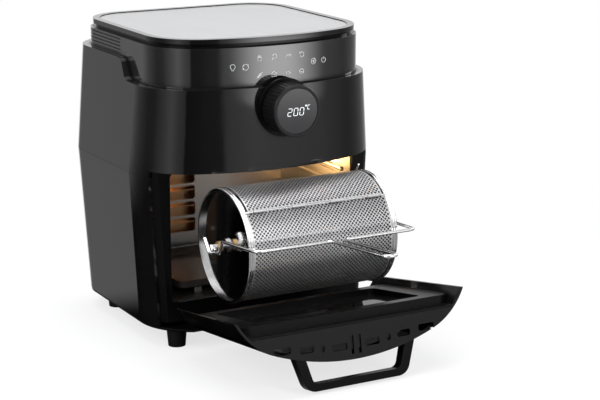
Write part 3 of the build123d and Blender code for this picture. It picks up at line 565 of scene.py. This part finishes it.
ribs = []
for rib_z in (0.1955, 0.1745):
    bpy.ops.object.select_all(action="DESELECT")
    bpy.ops.mesh.primitive_cube_add(size=1, location=(rib_x, rib_y, rib_z))
    rib = bpy.context.object
    rib.scale = (rib_depth, rib_length, rib_height)
    bpy.ops.object.transform_apply(location=True, rotation=True, scale=True)
    soften = rib.modifiers.new("pressed edge", "BEVEL")
    soften.width = rib_edge_radius
    soften.segments = 4
    bpy.ops.object.modifier_apply(modifier=soften.name)
    rib.data.materials.append(wall_steel)
    ribs.append(rib)
guide_ribs = ribs[0]
join_pieces(guide_ribs, ribs[1:])
guide_ribs.name = "upper_guide_ribs"
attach(guide_ribs, "oven_body")

# ---- drip tray ----
# A shallow pressed tray with a dark baked coating. It lies loose on two runners on the cavity's
# floor and pulls out forwards.
tray_coat = moulded("tray coating", (0.035, 0.028, 0.024), 0.24, 0.15, 0.12, 1600)
dress(tray_coat, "drip_tray")

# ---- door ----
# A moulded shell and liner with a bar handle, on steel arms that turn on the hinge brackets'
# pins. The two panes are toughened and tinted dark, one in the liner and one in the shell.


def tinted_glass(name, colour, cover, smoothest):
    finish, tree, shader = new_finish(name)
    place = tree.nodes.new("ShaderNodeTexCoord")
    film = noise_node(tree, place.outputs["Object"], 26.0, 6.0)
    vary_roughness(tree, shader, film, smoothest, smoothest + 0.05)
    shader.inputs["Base Color"].default_value = (*colour, 1)
    shader.inputs["Alpha"].default_value = cover
    shader.inputs["IOR"].default_value = 1.5
    return finish


door_black = moulded("door shell black", (0.003, 0.003, 0.0032), 0.16, 0.06, 0.03, 1500,
                     specular=0.06, coat=0.55)
inner_pane = tinted_glass("inner pane", (0.012, 0.012, 0.013), 0.78, 0.03)
outer_pane = tinted_glass("outer pane", (0.008, 0.008, 0.009), 0.85, 0.03)
dress(door_black, "door_outer_shell")
dress(satin_black, "door_inner_frame", "door_handle")
dress(wall_steel, "door_hinge_arm_left", "door_hinge_arm_right", "hinge_bracket_left",
      "hinge_bracket_right")
dress(inner_pane, "door_inner_glass")
dress(outer_pane, "door_outer_glass")

# ---- knob ----
# A knurled plastic ring turns round a fixed round display in a satin base. The display lights
# slanted seven-segment digits, 200 with a degree mark and C, drawn here as beads on its window.
knob_black = moulded("knob black", (0.004, 0.004, 0.0043), 0.28, 0.08, 0.06, 2000, specular=0.25)
display_black = moulded("display window", (0.010, 0.010, 0.012), 0.16, 0.05, 0.0, 900)
dress(satin_black, "knob_base")
dress(knob_black, "knob_ring")
dress(display_black, "knob_display")

digit_glow, tree, shader = new_finish("lit digits")
shader.inputs["Base Color"].default_value = (0.9, 0.93, 0.95, 1)
light_up(shader, (0.92, 0.97, 1.0), 0.75)
place = tree.nodes.new("ShaderNodeTexCoord")
dots = noise_node(tree, place.outputs["Object"], 500.0, 2.0)
vary_roughness(tree, shader, dots, 0.35, 0.6)


def drawn_lines(name, strokes, bead, finish, body):
    """One piece of round-section lines through the given points, in metres."""
    curve = bpy.data.curves.new(name, "CURVE")
    curve.dimensions = "3D"
    curve.bevel_depth = bead
    curve.bevel_resolution = 1
    curve.use_fill_caps = True
    for points in strokes:
        spline = curve.splines.new("POLY")
        spline.points.add(len(points) - 1)
        for point, spot in zip(spline.points, points):
            point.co = (*spot, 1)
    piece = bpy.data.objects.new(name, curve)
    scene.collection.objects.link(piece)
    bpy.ops.object.select_all(action="DESELECT")
    piece.select_set(True)
    bpy.context.view_layer.objects.active = piece
    bpy.ops.object.convert(target="MESH")
    piece = bpy.context.object
    piece.data.materials.clear()
    piece.data.materials.append(finish)
    bpy.ops.object.shade_smooth()
    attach(piece, body)


def ring(middle_x, middle_z, radius, start=0, end=360, steps=14):
    """Points along an arc from start to end, in degrees."""
    angles = [math.radians(start + (end - start) * step / steps) for step in range(steps + 1)]
    return [(middle_x + radius * math.cos(a), middle_z + radius * math.sin(a)) for a in angles]


# The digits are laid out in millimetres from the display's middle: x to the right, z upwards.
MM = 0.001
digit_bead = 0.00034
digit_slant = 0.12
segment_gap = 0.10                 # left free at each end of a segment, as a share of its length
display_low, display_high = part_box("knob_display")
display_z = (display_low.z + display_high.z) / 2
digit_y = display_low.y - 0.1 * MM
segment_ends = {
    "a": ((0, 2), (1, 2)), "b": ((1, 2), (1, 1)), "c": ((1, 1), (1, 0)), "d": ((0, 0), (1, 0)),
    "e": ((0, 1), (0, 0)), "f": ((0, 2), (0, 1)), "g": ((0, 1), (1, 1)),
}
digit_segments = {"2": "abged", "0": "abcdef", "C": "afed"}
# Each digit has its left edge, its foot, its width and half its height.
digit_layout = (
    ("2", -13.4, -5.2, 5.2, 4.5),
    ("0", -5.2, -5.2, 5.2, 4.5),
    ("0", 3.0, -5.2, 5.2, 4.5),
    ("C", 14.0, 1.2, 2.8, 2.6),
)
degree_mark = ring(12.0, 5.9, 0.9, steps=8)
digit_lines = []
for digit, left, foot, wide, half_tall in digit_layout:
    for segment in digit_segments[digit]:
        (x0, z0), (x1, z1) = segment_ends[segment]
        start = Vector((left + x0 * wide + digit_slant * z0 * half_tall, foot + z0 * half_tall))
        end = Vector((left + x1 * wide + digit_slant * z1 * half_tall, foot + z1 * half_tall))
        trim = (end - start) * segment_gap
        digit_lines.append((start + trim, end - trim))
digit_lines.append(degree_mark)
digit_strokes = [[(x * MM, digit_y, display_z + z * MM) for x, z in line] for line in digit_lines]
drawn_lines("display_digits", digit_strokes, digit_bead, digit_glow, "oven_body")

# ---- touch icons ----
# Twelve pictograms printed in pale grey on the touch band's front, following its bow, with a faint
# painted glow. They are touch fields and don't move.
icon_print_and_painted_glow = moulded("icon print with painted glow", (0.75, 0.755, 0.76), 0.5, 0.1, 0.1, 900)
# Painted light: the printed icons are given a faint glow of their own.
light_up(icon_print_and_painted_glow.node_tree.nodes["Principled BSDF"], (0.92, 0.95, 1.0), 0.34)
icon_bead = 0.00027
icon_proud = 0.00002
band_front_y = OVEN_Y - 0.158
band_bow_radius = 0.300
# Each icon has its middle's x and z on the band and its lines round that middle, in millimetres.
icons = {
    "bulb": (-63, 355, [
        ring(0, 1, 3, -60, 240),
        [(-1.4, -1.8), (-1.2, -3.6), (1.2, -3.6), (1.4, -1.8)],
    ]),
    "turn": (-47, 355, [
        ring(0, 0, 3.6, 30, 200),
        ring(0, 0, 3.6, 210, 380),
        [(3, 3.4), (3.4, 1.6), (1.6, 1.4)],
        [(-3, -3.4), (-3.4, -1.6), (-1.6, -1.4)],
    ]),
    "fries": (-29, 365, [
        [(-2.6, 1), (-2, -3.6), (2, -3.6), (2.6, 1)],
        [(-1.6, 1), (-1.8, 3.4)],
        [(0, 1), (0, 3.9)],
        [(1.6, 1), (1.8, 3.4)],
        [(-2.6, 1), (2.6, 1)],
    ]),
    "leg": (-10, 365, [
        ring(0.8, 1.2, 2.5, -110, 190),
        [(-0.9, -0.7), (-2.6, -3.2)],
        [(-3.3, -2.7), (-2, -3.9)],
    ]),
    "shrimp": (10, 365, [
        ring(0, -1.2, 3.4, 10, 165),
        ring(0, -1.2, 1.7, 20, 150),
        [(-3.3, -0.3), (-3.8, -2.4)],
    ]),
    "steak": (29, 365, [
        ring(0.4, 0, 3, -120, 170),
        [(-2.5, 0.5), (-3, 3.4), (-1.2, 3)],
        [(-1.1, -2.7), (-2, -1)],
    ]),
    "skewer": (-29, 344, [
        [(-3.4, -3.4), (3.4, 3.4)],
        ring(0.6, 0.6, 1.5),
        ring(-1.7, -1.7, 1.1),
    ]),
    "cake": (-10, 344, [
        [(-3, -3), (3, -3), (3, 0), (-3, 0), (-3, -3)],
        ring(0, 0, 3, 0, 180),
        [(0, 3), (0, 4)],
    ]),
    "fish": (10, 344, [
        ring(-0.4, -2.4, 3.9, 35, 145),
        ring(-0.4, 2.4, 3.9, 215, 325),
        [(2.8, 0), (4, 1.6), (4, -1.6), (2.8, 0)],
    ]),
    "pizza": (29, 344, [
        ring(0, -0.4, 3.3, 0, 180),
        [(-3.3, -0.4), (3.3, -0.4)],
        [(-3.8, -2), (3.8, -2)],
    ]),
    "fan": (47, 355, [
        ring(0, 0, 3.6),
        ring(0, 1.6, 1.1, 200, 430),
        ring(-1.4, -0.8, 1.1, 320, 550),
        ring(1.4, -0.8, 1.1, 80, 310),
    ]),
    "power": (63, 355, [
        ring(0, 0, 3.2, 120, 420),
        [(0, 1), (0, 4)],
    ]),
}
icon_strokes = []
for icon_x, icon_z, lines in icons.values():
    for line in lines:
        points = []
        for dx, dz in line:
            x = (icon_x + dx) * MM
            bow = band_bow_radius - math.sqrt(band_bow_radius ** 2 - x * x)
            points.append((x, band_front_y + bow - icon_proud, (icon_z + dz) * MM))
        icon_strokes.append(points)
drawn_lines("touch_icons", icon_strokes, icon_bead, icon_print_and_painted_glow, "oven_body")

# ---- drum ----
# Perforated stainless sheet rolled between two mirror-polished pressed ends, with a polished
# shaft, hinge wire and latch. The wire tool that it is carried on is polished too.
polished_steel = brushed("mirror steel", (0.72, 0.72, 0.72), 0.05, 0.04, 0.01, (300, 300, 300))
# A darker copy of the drum's steel: painted shade for the inside of the drum.
painted_shade_inner_steel = brushed("shaded inner steel", (0.08, 0.077, 0.072), 0.40, 0.08, 0.02, (300, 300, 300))
mesh_steel = brushed("perforated steel", (0.46, 0.46, 0.465), 0.26, 0.08, 0.02, (300, 300, 300),
                     metal=0.8)
dress(polished_steel, "drum_cap_left", "drum_cap_right", "drum_shaft", "drum_hinge_wire",
      "drum_latch", "drum_latch_rivet", "fetch_tool")
shaft_low, shaft_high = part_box("drum_shaft")
drum_axis = (shaft_low + shaft_high) / 2
hole_pitch = 0.0051
hole_land = 0.0011                 # the metal left between two holes
sheet_gauge = 0.0007


def perforated_sheet(name, half_length, from_deg, to_deg, radius, edge):
    """A rolled sheet about the drum's axis with staggered diamond holes and a plain edge."""
    arc_length = math.radians(to_deg - from_deg) * radius
    cell = hole_pitch / math.sqrt(2)
    side = (2 * half_length + arc_length) / math.sqrt(2) + 2 * cell
    count = 2 * int(side / cell / 2) + 2
    bpy.ops.object.select_all(action="DESELECT")
    bpy.ops.mesh.primitive_grid_add(x_subdivisions=count, y_subdivisions=count, size=count * cell,
                                    rotation=(0, 0, math.radians(45)))
    sheet = bpy.context.object
    sheet.name = name
    bpy.ops.object.transform_apply(location=True, rotation=True, scale=True)
    bpy.ops.object.mode_set(mode="EDIT")
    for spot, normal in (
        ((half_length, 0, 0), (1, 0, 0)), ((-half_length, 0, 0), (-1, 0, 0)),
        ((0, arc_length / 2, 0), (0, 1, 0)), ((0, -arc_length / 2, 0), (0, -1, 0)),
    ):
        bpy.ops.mesh.select_all(action="SELECT")
        bpy.ops.mesh.bisect(plane_co=spot, plane_no=normal, clear_outer=True)
    bpy.ops.mesh.select_all(action="DESELECT")
    bpy.ops.object.mode_set(mode="OBJECT")
    nearly_whole = 0.97 * cell * cell
    for face in sheet.data.polygons:
        off_ends = abs(face.center.x) < half_length - edge
        off_sides = abs(face.center.y) < arc_length / 2 - edge
        face.select = off_ends and off_sides and face.area > nearly_whole
    bpy.ops.object.mode_set(mode="EDIT")
    bpy.ops.mesh.select_mode(type="FACE")
    bpy.ops.mesh.inset(thickness=hole_land / 2, use_individual=True)
    bpy.ops.mesh.delete(type="FACE")
    bpy.ops.object.mode_set(mode="OBJECT")
    middle = math.radians(from_deg + to_deg) / 2
    for vertex in sheet.data.vertices:
        angle = middle - vertex.co.y / radius
        vertex.co.y = drum_axis.y + radius * math.cos(angle)
        vertex.co.z = drum_axis.z + radius * math.sin(angle)
    bpy.ops.object.mode_set(mode="EDIT")
    bpy.ops.mesh.select_all(action="SELECT")
    bpy.ops.mesh.normals_make_consistent(inside=False)
    bpy.ops.object.mode_set(mode="OBJECT")
    thicken = sheet.modifiers.new("gauge", "SOLIDIFY")
    thicken.thickness = sheet_gauge
    thicken.offset = 0
    bpy.ops.object.modifier_apply(modifier=thicken.name)
    sheet.data.materials.append(mesh_steel)
    sheet.data.materials.append(painted_shade_inner_steel)
    # Faces turned in towards the axis take the darker copy of the steel, as painted shade inside the drum.
    for face in sheet.data.polygons:
        from_axis = face.center - drum_axis
        outward = face.normal.y * from_axis.y + face.normal.z * from_axis.z
        face.material_index = 0 if outward > radius / 2 else 1
    bpy.ops.object.shade_smooth_by_angle(angle=math.radians(35))
    return sheet


drum_sheet = perforated_sheet("drum_screen", half_length=0.095, from_deg=132, to_deg=438,
                              radius=0.0684, edge=0.0012)
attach(drum_sheet, "drum")
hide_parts("drum_mesh")

# ---- drum hatch ----
# The same perforated sheet, lying on the drum over its opening and rolled into four knuckles
# that turn on the hinge wire.
hatch_sheet = perforated_sheet("drum_hatch_screen", half_length=0.0925, from_deg=76.8, to_deg=132.4,
                               radius=0.0695, edge=0.0015)
hinge_turn = math.radians(134)
hinge_radius = 0.071
hinge_y = drum_axis.y + hinge_radius * math.cos(hinge_turn)
hinge_z = drum_axis.z + hinge_radius * math.sin(hinge_turn)
knuckle_radius = 0.0019
knuckle_length = 0.016
knuckle_wall = 0.0008
knuckles = []
for knuckle_x in (-0.078, -0.026, 0.026, 0.078):
    bpy.ops.object.select_all(action="DESELECT")
    bpy.ops.mesh.primitive_cylinder_add(vertices=24, radius=knuckle_radius, depth=knuckle_length,
                                        end_fill_type="NOTHING", rotation=(0, math.radians(90), 0),
                                        location=(knuckle_x, hinge_y, hinge_z))
    knuckle = bpy.context.object
    bpy.ops.object.transform_apply(location=True, rotation=True, scale=True)
    wall = knuckle.modifiers.new("wall", "SOLIDIFY")
    wall.thickness = knuckle_wall
    bpy.ops.object.modifier_apply(modifier=wall.name)
    knuckle.data.materials.append(mesh_steel)
    knuckles.append(knuckle)
join_pieces(hatch_sheet, knuckles)
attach(hatch_sheet, "drum_hatch")
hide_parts("drum_hatch")
